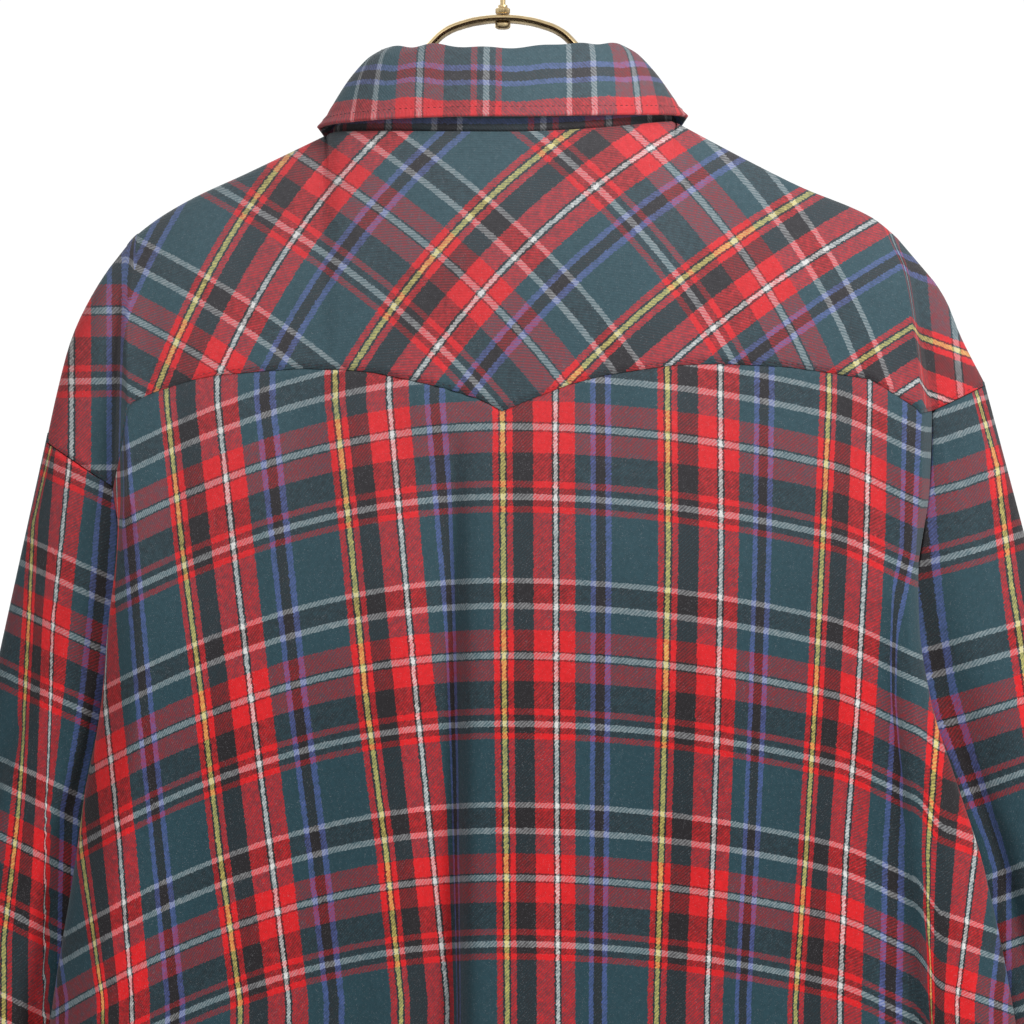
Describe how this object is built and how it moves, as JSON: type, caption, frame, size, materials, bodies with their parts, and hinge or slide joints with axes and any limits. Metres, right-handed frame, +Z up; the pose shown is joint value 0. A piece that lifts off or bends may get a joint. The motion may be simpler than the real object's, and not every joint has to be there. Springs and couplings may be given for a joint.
{
  "type": "western snap shirt on a hanger",
  "caption": "Long-sleeved western snap shirt in tartan flannel, with pointed yokes and a turned-down collar, hanging on an antique-brass hanger.",
  "frame": {"origin": "inside top of the hanger's hook, where it rests on a rail", "axes": "+Z up, +Y out of the back of the shirt, +X toward the wearer's left sleeve"},
  "size_m": [0.709, 0.1305, 0.9277],
  "materials": {
    "flannel": "brushed",
    "snap": "polished",
    "brass": "satin"
  },
  "bodies": {
    "root": {"back_panel": "flannel", "back_yoke": "flannel", "front_yoke_left": "flannel", "front_yoke_right": "flannel", "front_left": "flannel", "front_right": "flannel", "placket": "flannel", "sleeve_left": "flannel", "sleeve_right": "flannel", "cuff_left": "flannel", "cuff_right": "flannel", "collar_stand": "flannel", "collar_leaf": "flannel", "snap_stand": "snap", "snap_front_1": "snap", "snap_front_2": "snap", "snap_front_3": "snap", "snap_front_4": "snap", "snap_front_5": "snap", "snap_front_6": "snap", "snap_cuff_left_1": "snap", "snap_cuff_left_2": "snap", "snap_cuff_right_1": "snap", "snap_cuff_right_2": "snap", "hanger_hook": "brass", "hanger_nut": "brass", "hanger_bar": "brass", "hanger_rivet": "brass"}
  },
  "joints": []
}
